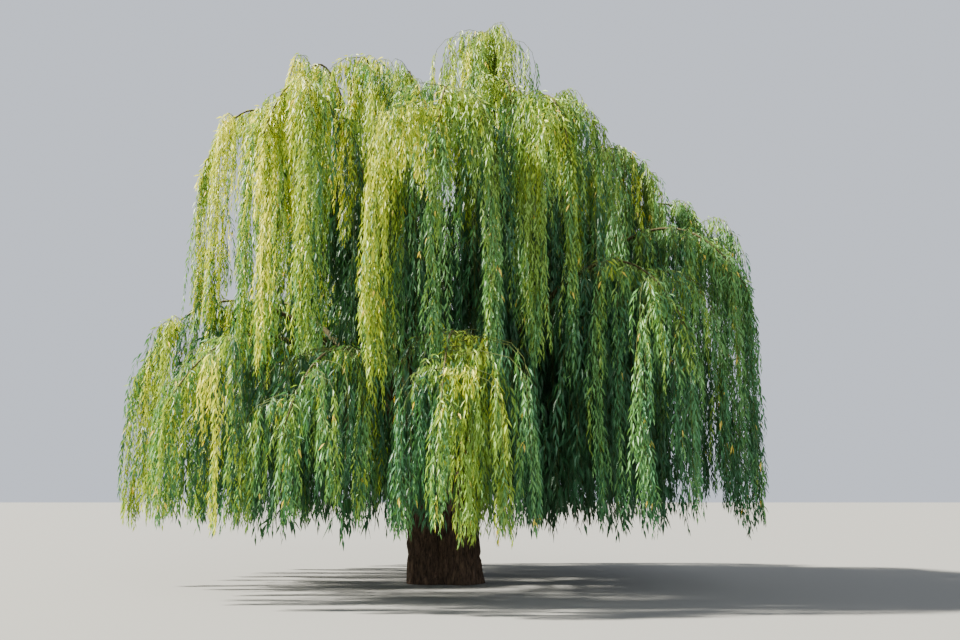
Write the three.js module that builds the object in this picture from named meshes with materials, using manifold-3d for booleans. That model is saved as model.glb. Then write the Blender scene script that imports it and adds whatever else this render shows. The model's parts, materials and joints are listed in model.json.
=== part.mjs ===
// A mature weeping willow: one trunk, its boughs, and the masses of foliage that hang from them.
// Millimetres, +Z up. The ground is the plane Z = 0, the origin is at the middle of the trunk's flat cut,
// and the side that the photograph shows faces -Y, with +X to its right.

import * as THREE from "three";
import Module from "manifold-3d";

const wasm = await Module();
wasm.setup();

// Driving dimensions, in millimetres and degrees
const SEED = 20;
const GAP = 0.3;
const SEAT_GAP = 0.45;

const TRUNK = {
  sides: 12,
  heights: [0, 80, 260, 800, 1400],
  waist: 800,
  cap: 150,
  capShare: 0.68,
  flare: 0.12,
  flareHeight: 200,
  ribs: 5,
  ribDepth: 0.06,
  ribHeight: 500,
};

// The trunk's two fused stems: middle and radius, [x, y, radius], at the ground, the waist and the top
const STEMS = [
  { foot: [-310, 0, 357], waist: [-320, 0, 375], top: [-450, 30, 285], height: 2350 },
  { foot: [235, 10, 424], waist: [180, 10, 425], top: [390, -20, 300], height: 2600 },
];

// Each tier is a ring of boughs that arch over and hang. Reach, crest and hem change round the crown:
// [mean, term in cos(angle), term in cos(2 angle), term in sin(angle)], where angle 0 is +X and 270 faces
// the viewer.
// Reach and crest are those of the arch, fall is how far its outer end lies below the crest, and hem is
// the height where the foliage ends. Parent is where the bough leaves its leader, as [first, step] in
// shares of the leader's length, and bare is the share of the arch that is bough, before its foliage.
// The seed, with a mass's number added, starts the random numbers of its sprays.
const TIERS = [
  {
    bough: "leader",
    foliage: "upper_foliage",
    seed: 220,
    count: 6,
    turn: 0,
    reach: [2750, -250, 0, 0],
    crest: [9450, -450, 0, 650],
    fall: 850,
    hem: [5500, 0, 300, 0],
    parent: null,
    rise: 0.45,
    bare: 0.5,
    radius: [155, 52],
    halfWidth: 1150,
    sides: 6,
    tassels: 5,
  },
  {
    bough: "summit_bough",
    foliage: "summit_foliage",
    seed: 320,
    count: 2,
    turn: -30,
    reach: [900, 0, 0, 0],
    crest: [10110, 420, 0, 0],
    fall: 450,
    hem: [7100, 0, 0, 0],
    parent: [0.42, 0.05],
    rise: 0.5,
    bare: 0.45,
    radius: [75, 38],
    halfWidth: 900,
    sides: 5,
    tassels: 4,
  },
  {
    bough: "shoulder_bough",
    foliage: "shoulder_foliage",
    seed: 420,
    count: 9,
    turn: 28,
    reach: [4200, -250, 100, 0],
    crest: [8250, -150, 100, 0],
    fall: 1200,
    hem: [3600, 0, 900, 0],
    parent: [0.2, 0.07],
    rise: 0.55,
    bare: 0.5,
    radius: [105, 40],
    halfWidth: 1200,
    sides: 5,
    tassels: 6,
  },
  {
    bough: "skirt_bough",
    foliage: "skirt_foliage",
    seed: 620,
    count: 12,
    turn: 5,
    reach: [5300, 60, 130, 0],
    crest: [5450, 950, 600, 1000],
    fall: 1250,
    hem: [1000, 0, 0, 0],
    parent: [0.03, 0.06],
    rise: 0.6,
    bare: 0.5,
    radius: [125, 42],
    halfWidth: 1250,
    sides: 5,
    tassels: 6,
  },
];
const TURN_JITTER = 7;
const REACH_JITTER = 0.05;
const CREST_JITTER = 0.03;
const CREST_AT = 0.72;
const ARCH_PLAN = [0.3, 0.72];
const LEADER_OFFSET = 105;
const LEADER_SINK = 170;
const FOOT_FLARE = 0.3;
const FOOT_FLARE_LENGTH = 0.05;
const BOUGH_STEPS = 4;

const STEM = { sides: 4, steps: 3, tipRadius: 16, sprays: 3 };

// A tassel is a twig that leaves the stem sideways and hangs. Sprays of leaves stand on it.
const TASSEL = {
  sides: 3,
  from: 0.05,
  to: 0.96,
  radius: [20, 9],
  steps: [0, 0.15, 1],
  hang: 0.8,
  bow: 9,
  narrowest: 0.35,
  lift: 0.1,
  outward: 0.32,
  sway: 90,
  raggedness: 0.2,
  pace: 160,
  rootLength: 320,
  clear: 260,
};

const SPRAY = {
  length: 1800,
  width: 500,
  thickness: 36,
  fold: 10,
  widest: 0.4,
  neck: 0.12,
  collar: 50,
  first: 300,
  pitch: 1150,
  lean: [22, 9],
  leanJitter: 4,
  turn: 137.5,
  roll: 0.35,
  shortest: 600,
  tries: 8,
};

// Heights count for less than widths when the space is shared out, because foliage hangs.
const HEIGHT_WEIGHT = 0.35;
const SPACE_MARGIN = 15;
const CLEAR = 35;

// Corners that stand out by less than this are smoothed away, on a twig and then on a whole mass
const SMOOTH = 3;
const SMOOTH_JOINS = 0.35;

const DEG = Math.PI / 180;
const UP = new THREE.Vector3(0, 0, 1);

// A seeded series of numbers from 0 to 1
function seeded(seed) {
  let state = seed | 0;
  return () => {
    state = (state + 0x6d2b79f5) | 0;
    let mixed = Math.imul(state ^ (state >>> 15), 1 | state);
    mixed = (mixed + Math.imul(mixed ^ (mixed >>> 7), 61 | mixed)) ^ mixed;
    return ((mixed ^ (mixed >>> 14)) >>> 0) / 4294967296;
  };
}

// A number from -1 to 1
const signed = (random) => 2 * random() - 1;

const mix = (a, b, share) => a + (b - a) * share;

const polar = (radius, angle, z) =>
  new THREE.Vector3(radius * Math.cos(angle * DEG), radius * Math.sin(angle * DEG), z);

const around = ([mean, side, waist, back], angle) =>
  mean +
  side * Math.cos(angle * DEG) +
  waist * Math.cos(2 * angle * DEG) +
  back * Math.sin(angle * DEG);

const apart = (a, b) => Math.abs(((((a - b) % 360) + 540) % 360) - 180);

// Lines of points

const lengthOf = (points) =>
  points.slice(1).reduce((sum, p, i) => sum + p.distanceTo(points[i]), 0);

// The point at a distance along a line of points
function pointAt(points, distance) {
  let left = distance;
  for (let i = 0; i + 1 < points.length; i += 1) {
    const span = points[i].distanceTo(points[i + 1]);
    if (left <= span) return points[i].clone().lerp(points[i + 1], left / span);
    left -= span;
  }
  return points.at(-1).clone();
}

// Places along a line of points, at most a pace apart
function walk(points, pace) {
  const length = lengthOf(points);
  const count = Math.ceil(length / pace);
  return Array.from({ length: count + 1 }, (_, i) => pointAt(points, (length * i) / count));
}

// The distance from a place to the nearest of some others, with heights weighted
function nearest(places, p, weight) {
  return places.reduce((best, q) => {
    const far = Math.hypot(p.x - q.x, p.y - q.y, weight * (p.z - q.z));
    return Math.min(best, far);
  }, Infinity);
}

// Solids

// A closed solid from corners and triangles that face outwards
const solidOf = (corners, triangles) =>
  new wasm.Manifold(
    new wasm.Mesh({
      numProp: 3,
      vertProperties: new Float32Array(corners.flatMap((p) => [p.x, p.y, p.z])),
      triVerts: new Uint32Array(triangles),
    }),
  );

// A closed solid through rings of points, each ring running anticlockwise about the way the solid goes
function loft(rings) {
  const sides = rings[0].length;
  const triangles = [];
  for (let ring = 0; ring + 1 < rings.length; ring += 1) {
    for (let side = 0; side < sides; side += 1) {
      const a = ring * sides + side;
      const b = ring * sides + ((side + 1) % sides);
      triangles.push(a, b, b + sides, a, b + sides, a + sides);
    }
  }
  const last = (rings.length - 1) * sides;
  for (let side = 1; side + 1 < sides; side += 1) {
    triangles.push(0, side + 1, side, last, last + side, last + side + 1);
  }
  return solidOf(rings.flat(), triangles);
}

// Rings round a line of points, carried along it without twisting. The first and last ring square up to
// ways of their own where those are given.
function ringsAlong(points, radii, sides, [first, last]) {
  const ways = points.map((_, i) => {
    const before = points[Math.max(i - 1, 0)];
    const after = points[Math.min(i + 1, points.length - 1)];
    return after.clone().sub(before).normalize();
  });
  if (first) ways[0] = first;
  if (last) ways[points.length - 1] = last;
  let across = new THREE.Vector3(0, 1, 0);
  if (Math.abs(ways[0].y) > 0.9) across = new THREE.Vector3(1, 0, 0);
  return points.map((p, i) => {
    across = across.clone().addScaledVector(ways[i], -across.dot(ways[i])).normalize();
    const other = ways[i].clone().cross(across);
    return Array.from({ length: sides }, (_, side) => {
      const angle = (2 * Math.PI * side) / sides;
      return p
        .clone()
        .addScaledVector(across, radii[i] * Math.cos(angle))
        .addScaledVector(other, radii[i] * Math.sin(angle));
    });
  });
}

// A spray's shape, like a leaf with a keel: its root and neck, its two edges and keel where it is widest,
// and its tip
function sprayShape(root, outward, lean, roll, length) {
  const way = outward.clone().multiplyScalar(Math.sin(lean * DEG));
  way.z = -Math.cos(lean * DEG);
  const across = outward.clone().cross(way).normalize().applyAxisAngle(way, roll);
  const face = way.clone().cross(across);
  const middle = root.clone().addScaledVector(way, length * SPRAY.widest);
  const edge = (side) =>
    middle
      .clone()
      .addScaledVector(across, (side * SPRAY.width) / 2)
      .addScaledVector(face, SPRAY.fold);
  return {
    way,
    root,
    neck: root.clone().addScaledVector(way, length * SPRAY.neck),
    widest: [edge(1), edge(-1), middle.clone().addScaledVector(face, SPRAY.fold - SPRAY.thickness)],
    tip: root.clone().addScaledVector(way, length),
  };
}

// A spray by itself as a solid, from its root or its neck to its tip
const sprayFrom = (start, { widest, tip }) =>
  solidOf([start, tip, ...widest], [0, 3, 2, 0, 4, 3, 0, 2, 4, 1, 2, 3, 1, 3, 4, 1, 4, 2]);

// One closed solid: a tapering twig with sprays that widen out of its sides, and one out of its end
function leafyTwig({ points, taper, sides, start }, sprays, last) {
  const length = lengthOf(points);
  const collars = sprays.map(({ distance }) => [distance, distance + SPRAY.collar]);
  const bends = points
    .map((_, i) => lengthOf(points.slice(0, i + 1)))
    .filter((distance) => collars.every(([from, to]) => distance < from - 1 || distance > to + 1));
  const marks = [...bends, ...collars.flat()].sort((a, b) => a - b);
  const middles = marks.map((distance) => pointAt(points, distance));
  const radii = marks.map((distance) => mix(...taper, distance / length));
  const corners = ringsAlong(middles, radii, sides, [start]).flat();
  const triangles = [];

  const grow = (root, { widest, tip }) => {
    const turned = (turn) =>
      root.reduce((sum, at, i) => sum + corners[at].distanceTo(widest[(i + turn) % 3]), 0);
    const best = [0, 1, 2].reduce((a, b) => (turned(b) < turned(a) ? b : a));
    const first = corners.length;
    corners.push(...widest, tip);
    for (let i = 0; i < 3; i += 1) {
      const next = (i + 1) % 3;
      const p = first + ((i + best) % 3);
      const q = first + ((next + best) % 3);
      triangles.push(root[i], root[next], q, root[i], q, p, p, q, first + 3);
    }
  };

  for (let ring = 0; ring + 1 < marks.length; ring += 1) {
    const spray = sprays.find(({ distance }) => distance === marks[ring]);
    const quads = Array.from({ length: sides }, (_, side) => {
      const a = ring * sides + side;
      const b = ring * sides + ((side + 1) % sides);
      return [a, b, b + sides, a + sides];
    });
    const facing = ([a, b, c]) => {
      const normal = corners[b].clone().sub(corners[a]);
      return normal.cross(corners[c].clone().sub(corners[a])).normalize().dot(spray.shape.way);
    };
    const from = spray && quads.reduce((a, b) => (facing(b) > facing(a) ? b : a));
    for (const quad of quads) {
      const [a, b, c, d] = quad;
      if (quad === from) grow([a, b, c], spray.shape);
      else triangles.push(a, b, c);
      triangles.push(a, c, d);
    }
  }
  const end = (marks.length - 1) * sides;
  for (let side = 1; side + 1 < sides; side += 1) triangles.push(0, side + 1, side);
  if (last) grow([end, end + 1, end + 2], last);
  else for (let side = 1; side + 1 < sides; side += 1) triangles.push(end, end + side, end + side + 1);
  return solidOf(corners, triangles);
}

// The largest body of a solid: what a cut leaves loose is dropped, and a sealed hollow is filled
const largest = (solid) =>
  solid.decompose().reduce((best, body) => (body.volume() > best.volume() ? body : best));

// A solid with its box and the bough whose mass it belongs to
const boxed = (solid, bough) => ({ solid, bough, box: solid.boundingBox() });

// Whether two boxed solids are nearer together than the least clearance
const touches = (a, b) =>
  [0, 1, 2].every(
    (axis) => a.box.min[axis] < b.box.max[axis] + CLEAR && b.box.min[axis] < a.box.max[axis] + CLEAR,
  ) && a.solid.minGap(b.solid, CLEAR) < CLEAR;

function mesh(name, solid, material) {
  const { vertProperties, triVerts } = solid.getMesh();
  const geometry = new THREE.BufferGeometry()
    .setAttribute("position", new THREE.BufferAttribute(new Float32Array(vertProperties), 3))
    .setIndex(new THREE.BufferAttribute(new Uint32Array(triVerts), 1));
  const made = new THREE.Mesh(geometry, material);
  made.name = name;
  return made;
}

// Trunk

function stemAt({ foot, waist, top, height }, z) {
  const low = z < TRUNK.waist;
  const [from, to] = low ? [foot, waist] : [waist, top];
  const share = low ? z / TRUNK.waist : (z - TRUNK.waist) / (height - TRUNK.waist);
  return from.map((value, i) => mix(value, to[i], share));
}

function trunkStem(stem, grow) {
  const heights = [...TRUNK.heights, stem.height - TRUNK.cap, stem.height];
  const rings = heights.map((z) => {
    const [x, y, radius] = stemAt(stem, z);
    const atTop = z === stem.height;
    const flare = 1 + TRUNK.flare * Math.exp(-z / TRUNK.flareHeight);
    const ribDepth = TRUNK.ribDepth * Math.exp(-z / TRUNK.ribHeight);
    return Array.from({ length: TRUNK.sides }, (_, side) => {
      const angle = (360 * side) / TRUNK.sides;
      const rib = 1 + ribDepth * Math.cos(TRUNK.ribs * angle * DEG);
      const out = radius * flare * rib * (atTop ? TRUNK.capShare : 1) + grow;
      return polar(out, angle, atTop ? z + grow : z).add(new THREE.Vector3(x, y, 0));
    });
  });
  return loft(rings);
}

const trunkSolid = (grow) => wasm.Manifold.union(STEMS.map((stem) => trunkStem(stem, grow)));

// Boughs

// One cubic curve from the bough's foot over its crest to the outer end of its foliage's stem
function arch(foot, end, crest, rise) {
  const near = foot.clone().lerp(end, ARCH_PLAN[0]);
  const far = foot.clone().lerp(end, ARCH_PLAN[1]);
  near.z = mix(foot.z, crest, rise);
  const t = CREST_AT;
  const s = 1 - t;
  const others = s ** 3 * foot.z + 3 * s * s * t * near.z + t ** 3 * end.z;
  far.z = (crest - others) / (3 * s * t * t);
  return new THREE.CubicBezierCurve3(foot, near, far, end);
}

function boughRadius(tier, share) {
  const [foot, tip] = tier.radius;
  const flare = 1 + FOOT_FLARE * Math.exp(-share / FOOT_FLARE_LENGTH);
  return mix(foot, tip, share / tier.bare) * flare;
}

function planBoughs() {
  const random = seeded(SEED);
  const boughs = [];
  for (const tier of TIERS) {
    const started = new Map();
    for (let i = 0; i < tier.count; i += 1) {
      const angle = tier.turn + (360 * i) / tier.count + TURN_JITTER * signed(random);
      const reach = around(tier.reach, angle) * (1 + REACH_JITTER * signed(random));
      const crest = around(tier.crest, angle) * (1 + CREST_JITTER * signed(random));
      let foot;
      if (tier.parent) {
        const leaders = boughs.filter((b) => b.tier === TIERS[0]);
        const leader = leaders.reduce((best, b) =>
          apart(b.angle, angle) < apart(best.angle, angle) ? b : best,
        );
        const before = started.get(leader) ?? 0;
        started.set(leader, before + 1);
        foot = leader.curve.getPoint(tier.parent[0] + tier.parent[1] * before);
      } else {
        const stem = STEMS[Math.cos(angle * DEG) < 0 ? 0 : 1];
        const [x, y] = stem.top;
        foot = polar(LEADER_OFFSET, angle, stem.height - LEADER_SINK).add(new THREE.Vector3(x, y, 0));
      }
      const end = polar(reach, angle, crest - tier.fall);
      boughs.push({
        tier,
        angle,
        number: i + 1,
        curve: arch(foot, end, crest, tier.rise),
        hem: around(tier.hem, angle),
      });
    }
  }
  return boughs;
}

function boughSolid({ tier, curve }, grow) {
  const shares = Array.from({ length: BOUGH_STEPS + 1 }, (_, i) => (tier.bare * i) / BOUGH_STEPS);
  const points = shares.map((share) => curve.getPoint(share));
  const tip = curve.getTangent(tier.bare);
  points[0].addScaledVector(curve.getTangent(0), -grow);
  points[BOUGH_STEPS].addScaledVector(tip, grow);
  const radii = shares.map((share) => boughRadius(tier, share) + grow);
  return loft(ringsAlong(points, radii, tier.sides, [null, tip]));
}

// Foliage

// The stem that carries a bough's arch on, from 0.3 mm past the bough's tip to the arch's outer end
function stemPoints({ tier, curve }) {
  const shares = Array.from({ length: STEM.steps + 1 }, (_, i) => mix(tier.bare, 1, i / STEM.steps));
  const points = shares.map((share) => curve.getPoint(share));
  points[0].addScaledVector(curve.getTangent(tier.bare), GAP);
  return points;
}

// A tassel's points: out from the stem by a width to one side, then down to its hem
function tasselPoints(bough, start, side, width, hem, bend) {
  const along = polar(1, bough.angle, 0);
  const across = along.clone().cross(UP).multiplyScalar(side);
  return TASSEL.steps.map((step) => {
    const out = 1 - Math.exp(-TASSEL.bow * step);
    const lift = TASSEL.lift * width * Math.sin(Math.PI * step ** 0.37);
    const sway = TASSEL.sway * bend * Math.sin(Math.PI * step);
    return start
      .clone()
      .addScaledVector(across, width * out + sway)
      .addScaledVector(along, TASSEL.outward * width * out - sway)
      .addScaledVector(UP, lift - (start.z - hem) * step ** 1.4);
  });
}

// Places along every bough and stem, with their radii
function limbPlaces(boughs) {
  return boughs.flatMap((bough) => {
    const { tier, curve } = bough;
    const steps = Math.ceil(curve.getLength() / 60);
    return Array.from({ length: steps + 1 }, (_, i) => {
      const share = i / steps;
      const radius = share < tier.bare ? boughRadius(tier, share) : tier.radius[1];
      return { bough, at: curve.getPoint(share), radius };
    });
  });
}

// Whether a tassel hangs clear of the other masses' tassels and of every limb but its own
function hangsClear(points, bough, limbs, taken) {
  const places = walk(points, TASSEL.pace);
  const first = Math.ceil(TASSEL.rootLength / TASSEL.pace);
  return places.slice(first).every(
    (p) =>
      nearest(taken, p, HEIGHT_WEIGHT) > TASSEL.clear &&
      limbs.every((limb) => limb.bough === bough || p.distanceTo(limb.at) > limb.radius + CLEAR),
  );
}

// The tassels of every mass, narrowed or shortened where they would meet another mass or a limb
function planTassels(boughs) {
  const random = seeded(SEED + 1);
  const limbs = limbPlaces(boughs);
  const taken = new Map();
  for (const bough of boughs) {
    bough.tassels = [];
    const others = [...taken.values()].flat();
    const own = [];
    taken.set(bough, own);
    const stem = stemPoints(bough);
    const { tier } = bough;
    for (let i = 0; i <= tier.tassels; i += 1) {
      const share = mix(TASSEL.from, TASSEL.to, i / tier.tassels);
      const tip = i === tier.tassels;
      const start = tip ? stem.at(-1) : pointAt(stem, share * lengthOf(stem));
      const side = i % 2 ? 1 : -1;
      const width = tip ? 0 : tier.halfWidth * mix(TASSEL.narrowest, 1, random());
      const ragged = TASSEL.raggedness * (start.z - bough.hem) * random();
      const bend = signed(random);
      const tries = [1, 0.7, 0.5].flatMap((reached) => [1, 0.6].map((narrow) => [reached, narrow]));
      for (const [reached, narrow] of tries) {
        const hem = mix(start.z, bough.hem + ragged, reached);
        const points = tasselPoints(bough, start, side, width * narrow, hem, bend);
        if (hangsClear(points, bough, limbs, others)) {
          bough.tassels.push({ points, hem, share });
          own.push(...walk(points, TASSEL.pace));
          break;
        }
      }
    }
  }
  return taken;
}

// Whether a spray lies in its own mass's space
function keepsToSpace({ widest, tip }, bough, taken) {
  const others = [...taken].filter(([other]) => other !== bough).flatMap(([, places]) => places);
  const own = taken.get(bough);
  const places = [tip, ...widest, widest[2].clone().lerp(tip, 0.5)];
  return places.every(
    (p) => nearest(own, p, HEIGHT_WEIGHT) + SPACE_MARGIN < nearest(others, p, HEIGHT_WEIGHT),
  );
}

// A tassel's twig, which ends where its lowest spray carries on
function twigPoints({ points }) {
  const end = points.at(-2).clone().lerp(points.at(-1), TASSEL.hang);
  return [...points.slice(0, -1), end];
}

// The lines that a mass's sprays stand on: its stem first, then its twigs, with each spray's place as a
// share of the line's length
function massLines(bough) {
  const { tier, curve, tassels } = bough;
  const stem = {
    start: curve.getTangent(tier.bare),
    points: stemPoints(bough),
    taper: [tier.radius[1] * 0.92, STEM.tipRadius],
    sides: STEM.sides,
    places: Array.from({ length: STEM.sprays }, (_, i) => (i + 0.4) / STEM.sprays),
  };
  const twigs = tassels.map((tassel) => {
    const points = twigPoints(tassel);
    const count = Math.max(1, Math.round((lengthOf(points) - SPRAY.first) / SPRAY.pitch));
    const first = SPRAY.first / lengthOf(points);
    const places = Array.from({ length: count + 1 }, (_, i) => mix(first, 1, i / count));
    return { points, taper: TASSEL.radius, sides: TASSEL.sides, places };
  });
  return [stem, ...twigs];
}

// A mass: its stem, its twigs, and the sprays that find room clear of each other and of all the rest
function massSolid(bough, lines, taken, blocks) {
  const random = seeded(bough.tier.seed + bough.number);
  let turn = 360 * random();

  const placed = (root, share) => {
    const length = Math.min(SPRAY.length * mix(0.85, 1.1, random()), root.z - bough.hem);
    const lean = mix(...SPRAY.lean, share) + SPRAY.leanJitter * signed(random);
    const roll = SPRAY.roll * signed(random);
    if (length < SPRAY.shortest) return null;
    for (let i = 0; i < SPRAY.tries; i += 1) {
      turn += SPRAY.turn;
      const shape = sprayShape(root, polar(1, turn, 0), lean, roll, length);
      if (!keepsToSpace(shape, bough, taken)) continue;
      const whole = boxed(sprayFrom(shape.root, shape), bough);
      const blade = boxed(sprayFrom(shape.neck, shape), bough);
      if (blocks.some((other) => touches(other.bough === bough ? blade : whole, other))) continue;
      blocks.push(blade);
      return shape;
    }
    return null;
  };

  const pieces = lines.map((line, i) => {
    const { points, places } = line;
    const length = lengthOf(points);
    const shapes = places.map((share) => placed(pointAt(points, share * length), share));
    const sprays = shapes
      .map((shape, k) => ({ shape, distance: places[k] * length - SPRAY.collar / 2 }))
      .filter(({ shape }, k) => shape && places[k] < 1);
    const solid = leafyTwig(line, sprays, places.at(-1) === 1 && shapes.at(-1));
    return i === 0 ? solid : solid.simplify(SMOOTH);
  });
  return largest(wasm.Manifold.union(pieces).simplify(SMOOTH_JOINS));
}

const bark = new THREE.MeshStandardMaterial({ color: 0x4a3a2e, roughness: 0.95, metalness: 0 });
const youngBark = new THREE.MeshStandardMaterial({ color: 0x6b6238, roughness: 0.85, metalness: 0 });
const leaves = new THREE.MeshStandardMaterial({ color: 0x6f9a3c, roughness: 0.6, metalness: 0 });

const tree = new THREE.Group();
const trunk = trunkSolid(0);
tree.add(mesh("trunk", trunk, bark));

const boughs = planBoughs();
const wood = [trunk];
const seats = [trunkSolid(SEAT_GAP)];
for (const bough of boughs) {
  const solid = largest(boughSolid(bough, 0).subtract(wasm.Manifold.union(seats)));
  seats.push(boughSolid(bough, SEAT_GAP));
  wood.push(solid);
  tree.add(mesh(`${bough.tier.bough}_${bough.number}`, solid, youngBark));
}

// What the sprays keep clear of: the wood, every stem and every twig, and then the sprays before them
const taken = planTassels(boughs);
const blocks = wood.map((solid) => boxed(solid, null));
const lines = new Map(boughs.map((bough) => [bough, massLines(bough)]));
for (const [bough, [stem]] of lines) blocks.push(boxed(leafyTwig(stem, []), bough));
for (const [bough, [stem, ...twigs]] of lines) {
  const kept = twigs.filter((twig) => {
    const solid = boxed(leafyTwig(twig, []), bough);
    const free = blocks.every((other) => other.bough === bough || !touches(solid, other));
    if (free) blocks.push(solid);
    return free;
  });
  lines.set(bough, [stem, ...kept]);
}
for (const bough of boughs) {
  const mass = massSolid(bough, lines.get(bough), taken, blocks);
  tree.add(mesh(`${bough.tier.foliage}_${bough.number}`, mass, leaves));
}

export default tree;
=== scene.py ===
# A mature weeping willow: a relief of bark on its trunk and boughs, and hanging shoots with their leaves.
# Lengths of the plan are in millimetres, as in the model's source, and pieces are made in metres.

import json
import math

import bpy
import numpy as np
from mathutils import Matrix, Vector, noise

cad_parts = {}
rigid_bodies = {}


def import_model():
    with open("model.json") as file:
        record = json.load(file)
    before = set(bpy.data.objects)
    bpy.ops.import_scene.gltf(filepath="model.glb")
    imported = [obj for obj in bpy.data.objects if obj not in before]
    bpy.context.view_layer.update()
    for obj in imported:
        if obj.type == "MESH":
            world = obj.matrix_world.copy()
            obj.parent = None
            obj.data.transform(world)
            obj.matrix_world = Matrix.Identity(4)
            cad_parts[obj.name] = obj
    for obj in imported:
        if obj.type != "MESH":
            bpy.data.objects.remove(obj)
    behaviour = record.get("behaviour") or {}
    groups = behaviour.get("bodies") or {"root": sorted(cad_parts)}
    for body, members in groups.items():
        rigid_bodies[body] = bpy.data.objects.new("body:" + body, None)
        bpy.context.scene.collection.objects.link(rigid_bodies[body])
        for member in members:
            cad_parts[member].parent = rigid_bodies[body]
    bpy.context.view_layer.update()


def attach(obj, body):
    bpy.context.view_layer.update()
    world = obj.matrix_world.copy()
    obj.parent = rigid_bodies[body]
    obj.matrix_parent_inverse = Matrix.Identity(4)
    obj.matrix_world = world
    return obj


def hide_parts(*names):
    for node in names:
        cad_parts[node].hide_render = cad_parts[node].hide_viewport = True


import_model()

# The plan of the trunk and boughs, with the source's names and values
SEED = 20
GAP = 0.3

TRUNK = {
    "waist": 800,
    "cap": 150,
    "cap_share": 0.68,
    "flare": 0.12,
    "flare_height": 200,
    "ribs": 5,
    "rib_depth": 0.06,
    "rib_height": 500,
}

# The trunk's two fused stems: middle and radius, (x, y, radius), at the ground, the waist and the top
STEMS = [
    {"foot": (-310, 0, 357), "waist": (-320, 0, 375), "top": (-450, 30, 285), "height": 2350},
    {"foot": (235, 10, 424), "waist": (180, 10, 425), "top": (390, -20, 300), "height": 2600},
]

# Each tier is a ring of boughs that arch over and hang. Reach, crest and hem change round the crown:
# (mean, term in cos(angle), term in cos(2 angle), term in sin(angle)), where angle 0 is +X and 270 faces
# the viewer. Fall is how far an arch's outer end lies below its crest. Parent is where a bough leaves its
# leader, as (first, step) in shares of the leader's length, and bare is the share of an arch that is bough.
TIERS = [
    {
        "bough": "leader",
        "foliage": "upper_foliage",
        "count": 6,
        "turn": 0,
        "reach": (2750, -250, 0, 0),
        "crest": (9450, -450, 0, 650),
        "fall": 850,
        "hem": (5500, 0, 300, 0),
        "parent": None,
        "rise": 0.45,
        "bare": 0.5,
        "radius": (155, 52),
        "half_width": 1150,
        "tassels": 5,
    },
    {
        "bough": "summit_bough",
        "foliage": "summit_foliage",
        "count": 2,
        "turn": -30,
        "reach": (900, 0, 0, 0),
        "crest": (10110, 420, 0, 0),
        "fall": 450,
        "hem": (7100, 0, 0, 0),
        "parent": (0.42, 0.05),
        "rise": 0.5,
        "bare": 0.45,
        "radius": (75, 38),
        "half_width": 900,
        "tassels": 4,
    },
    {
        "bough": "shoulder_bough",
        "foliage": "shoulder_foliage",
        "count": 9,
        "turn": 28,
        "reach": (4200, -250, 100, 0),
        "crest": (8250, -150, 100, 0),
        "fall": 1200,
        "hem": (3600, 0, 900, 0),
        "parent": (0.2, 0.07),
        "rise": 0.55,
        "bare": 0.5,
        "radius": (105, 40),
        "half_width": 1200,
        "tassels": 6,
    },
    {
        "bough": "skirt_bough",
        "foliage": "skirt_foliage",
        "count": 12,
        "turn": 5,
        "reach": (5300, 60, 130, 0),
        "crest": (5450, 950, 600, 1000),
        "fall": 1250,
        "hem": (1000, 0, 0, 0),
        "parent": (0.03, 0.06),
        "rise": 0.6,
        "bare": 0.5,
        "radius": (125, 42),
        "half_width": 1250,
        "tassels": 6,
    },
]
LEADERS, SUMMIT, SHOULDERS, SKIRT = TIERS
TURN_JITTER = 7
REACH_JITTER = 0.05
CREST_JITTER = 0.03
CREST_AT = 0.72
ARCH_PLAN = (0.3, 0.72)
LEADER_OFFSET = 105
LEADER_SINK = 170
FOOT_FLARE = 0.3
FOOT_FLARE_LENGTH = 0.05
STEM_STEPS = 3

# A tassel is a twig that leaves the stem sideways and hangs. Peak and fall are the powers that shape its
# lift and its descent.
TASSEL = {
    "from": 0.05,
    "to": 0.96,
    "steps": (0, 0.15, 1),
    "bow": 9,
    "narrowest": 0.35,
    "lift": 0.1,
    "peak": 0.37,
    "fall": 1.4,
    "outward": 0.32,
    "sway": 90,
    "raggedness": 0.2,
    "pace": 160,
    "root_length": 320,
    "clear": 260,
}
# A tassel is tried at these shares of its drop, and at each of them with these shares of its width
TRIED_DROPS = (1, 0.7, 0.5)
TRIED_WIDTHS = (1, 0.6)
HEIGHT_WEIGHT = 0.35
CLEAR = 35
LIMB_PITCH = 60
ARCH_SAMPLES = 201

# What the scene adds to each mass. Finer tassels hang close beside each tassel of the plan, middle ones
# fill the mass, and inner ones hang from the bare bough, inside the crown. Widths are how far to the side
# inner ones hang, drop is how far they end below the mass's hem, and starts is where they start, in shares
# of the bare length. Group is the name and the number of the pieces that a tier's leaves are joined into.
EXTRA_VALUES = ("finer", "middle", "inner", "widths", "drop", "starts", "group")
EXTRAS = {
    "upper_foliage": (2, 2, 22, (150, 1300), 1000, (0.25, 1.0), ("upper", 2)),
    "summit_foliage": (3, 0, 14, (150, 800), 2900, (0.1, 1.0), ("upper", 2)),
    "shoulder_foliage": (2, 3, 12, (150, 900), 0, (0.3, 1.2), ("shoulder", 2)),
    "skirt_foliage": (2, 5, 19, (150, 800), 0, (0.4, 1.5), ("skirt", 3)),
}
FINER = {"shift": 0.07, "width": (0.88, 1.06), "beside": (10, 120), "raggedness": 0.3, "bend": 1.6}
MIDDLE = {"until": 0.8, "width": (0.15, 0.75), "raggedness": 0.25}
INNER = {"tries": 10, "points": 9, "shortest": 900, "raggedness": 0.25}

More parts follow.
